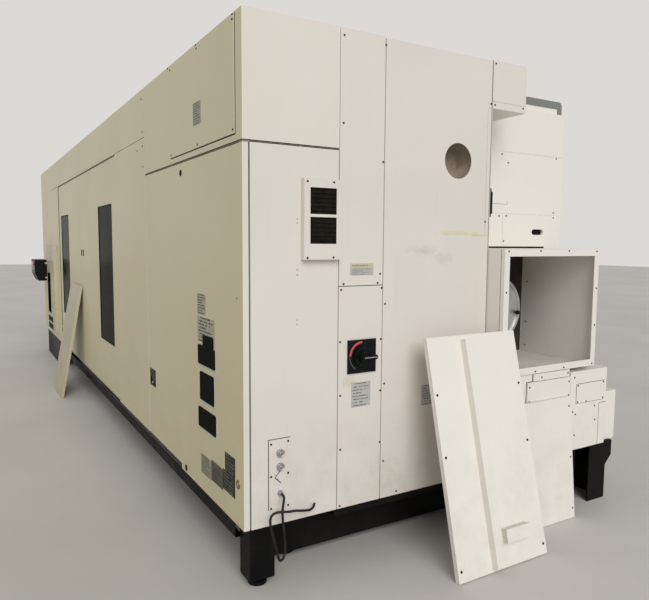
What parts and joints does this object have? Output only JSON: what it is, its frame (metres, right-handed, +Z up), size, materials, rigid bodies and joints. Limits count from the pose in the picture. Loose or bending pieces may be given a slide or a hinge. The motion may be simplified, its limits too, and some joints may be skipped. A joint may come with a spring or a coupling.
{
  "type": "cnc lathe",
  "caption": "Long enclosed slant-bed turning centre with sliding doors, an electrical cabinet, an open feed drive box at the near end and covers leaning on it.",
  "frame": {"origin": "bottom centre of the whole machine's box, on the floor", "axes": "+X along the machine to the end with the cabinet, +Y from the operator to the rear, +Z up"},
  "size_m": [8.5648, 2.9446, 2.75],
  "materials": {
    "panel_paint": "semi-gloss cream white powder coat, a little worn",
    "door_paint": "semi-gloss cream white powder coat",
    "frame_paint": "satin black, dusty and scuffed",
    "plinth_paint": "satin grey brown",
    "grey_paint": "satin mid grey",
    "cast_bed": "painted grey casting with ground ways",
    "machined_steel": "ground steel, lightly oiled",
    "galvanised": "dull galvanised sheet",
    "wheel_alloy": "turned face, light grey",
    "belt_rubber": "matt black toothless belt",
    "lead_rubber": "matt black rubber jacket",
    "black_plastic": "fine texture",
    "console_grey": "cream paint with a dark bay",
    "stop_red": "smooth red",
    "filter_mat": "nearly black filter fleece, clogged with dust",
    "module_grey": "light grey casings",
    "glass": "tinted safety glass"
  },
  "bodies": {
    "machine": {"bed": "cast_bed", "base_frame": "frame_paint", "levelling_feet": "machined_steel", "far_plinth": "plinth_paint", "headstock": "cast_bed", "feed_motor": "black_plastic", "drive_belt": "belt_rubber", "cabinet_shell": "panel_paint", "drive_modules": "module_grey", "cabinet_top_cover": "panel_paint", "top_cover_panel": "panel_paint", "end_panel_cabinet": "panel_paint", "end_strips": "panel_paint", "end_panel_main": "panel_paint", "corner_box": "panel_paint", "tall_rear_box": "panel_paint", "grey_housing": "grey_paint", "drive_box": "panel_paint", "lower_rear_box": "panel_paint", "side_box": "panel_paint", "rear_leg": "frame_paint", "large_cover": "panel_paint", "second_cover": "panel_paint", "narrow_cover": "panel_paint", "vent_cover": "panel_paint", "vent_filters": "filter_mat", "socket_panel": "panel_paint", "cable_gland": "black_plastic", "power_lead": "lead_rubber", "switch_plate": "grey_paint", "front_panel_right": "panel_paint", "front_panel_left": "panel_paint", "front_top_band": "panel_paint", "far_end_panel": "panel_paint", "roof_panels": "panel_paint", "rear_panels": "panel_paint", "door_tracks": "galvanised", "chip_chute": "galvanised", "side_console": "console_grey"},
    "cabinet_door": {"cabinet_door": "panel_paint"},
    "door_latch": {"door_latch": "black_plastic"},
    "switch_handle": {"switch_handle": "black_plastic"},
    "door_right": {"door_right": "door_paint", "window_right": "glass"},
    "door_left": {"door_left": "door_paint", "window_left": "glass"},
    "pendant": {"pendant": "console_grey"},
    "stop_button": {"stop_button": "stop_red"},
    "carriage": {"carriage": "cast_bed"},
    "cross_slide": {"cross_slide": "cast_bed"},
    "turret": {"turret": "machined_steel"},
    "feed_screw": {"feed_screw": "machined_steel", "drive_wheel": "wheel_alloy"},
    "motor_wheel": {"motor_wheel": "wheel_alloy"},
    "chuck": {"chuck": "machined_steel"},
    "jaw_1": {"jaw_1": "machined_steel"},
    "jaw_2": {"jaw_2": "machined_steel"},
    "jaw_3": {"jaw_3": "machined_steel"},
    "tailstock": {"tailstock": "cast_bed"},
    "live_centre": {"live_centre": "machined_steel"}
  },
  "joints": [
    {"name": "cabinet_door_hinge", "type": "hinge", "parent": "machine", "child": "cabinet_door", "pos_m": [3.77764, -1.20674, 1.239], "axis": [0, 0, 1], "range_deg": [0, 120]},
    {"name": "door_latch_swing", "type": "hinge", "parent": "cabinet_door", "child": "door_latch", "pos_m": [2.18663, -1.21674, 0.818], "axis": [-1, 0, 0], "range_deg": [0, 40]},
    {"name": "main_switch_turn", "type": "hinge", "parent": "machine", "child": "switch_handle", "pos_m": [3.81364, -0.56024, 1.118], "axis": [1, 0, 0], "range_deg": [0, 90]},
    {"name": "door_right_slide", "type": "slide", "parent": "machine", "child": "door_right", "axis": [1, 0, 0], "range_m": [0, 0.95]},
    {"name": "door_left_slide", "type": "slide", "parent": "machine", "child": "door_left", "axis": [-1, 0, 0], "range_m": [0, 1.7]},
    {"name": "pendant_swivel", "type": "hinge", "parent": "machine", "child": "pendant", "pos_m": [-3.48136, -1.28174, 1.283], "axis": [0, 0, 1], "range_deg": [0, 90]},
    {"name": "stop_button_press", "type": "slide", "parent": "pendant", "child": "stop_button", "axis": [0, 1, 0], "range_m": [0, 0.004], "stiffness_N_per_m": 1500},
    {"name": "carriage_slide", "type": "slide", "parent": "machine", "child": "carriage", "axis": [1, 0, 0], "range_m": [-1.25, 1.1]},
    {"name": "cross_slide_move", "type": "slide", "parent": "carriage", "child": "cross_slide", "axis": [0, 0.5, 0.866], "range_m": [-0.22, 0.13]},
    {"name": "turret_index", "type": "hinge", "parent": "cross_slide", "child": "turret", "pos_m": [-1.07637, 0.35226, 1.81292], "axis": [1, 0, 0], "continuous": true},
    {"name": "screw_turn", "type": "hinge", "parent": "machine", "child": "feed_screw", "pos_m": [3.44364, 0.75243, 1.26203], "axis": [1, 0, 0], "continuous": true},
    {"name": "motor_turn", "type": "hinge", "parent": "machine", "child": "motor_wheel", "pos_m": [3.44364, 0.67743, 1.57403], "axis": [1, 0, 0], "continuous": true},
    {"name": "chuck_turn", "type": "hinge", "parent": "machine", "child": "chuck", "pos_m": [-2.87636, 0.02726, 1.25], "axis": [1, 0, 0], "continuous": true},
    {"name": "jaw_1_slide", "type": "slide", "parent": "chuck", "child": "jaw_1", "axis": [0, 0, 1], "range_m": [-0.006, 0.006]},
    {"name": "jaw_2_slide", "type": "slide", "parent": "chuck", "child": "jaw_2", "axis": [0, -0.866, -0.5], "range_m": [-0.006, 0.006]},
    {"name": "jaw_3_slide", "type": "slide", "parent": "chuck", "child": "jaw_3", "axis": [0, 0.866, -0.5], "range_m": [-0.006, 0.006]},
    {"name": "tailstock_slide", "type": "slide", "parent": "machine", "child": "tailstock", "axis": [1, 0, 0], "range_m": [-0.8, 0.3]},
    {"name": "centre_turn", "type": "hinge", "parent": "tailstock", "child": "live_centre", "pos_m": [1.77364, 0.02726, 1.25], "axis": [1, 0, 0], "continuous": true}
  ],
  "couplings": [
    {"joint": "screw_turn", "follows": "carriage_slide", "rad_per_m": 261.8},
    {"joint": "motor_turn", "follows": "carriage_slide", "rad_per_m": 788.89},
    {"joint": "jaw_2_slide", "follows": "jaw_1_slide", "ratio": 1},
    {"joint": "jaw_3_slide", "follows": "jaw_1_slide", "ratio": 1}
  ]
}
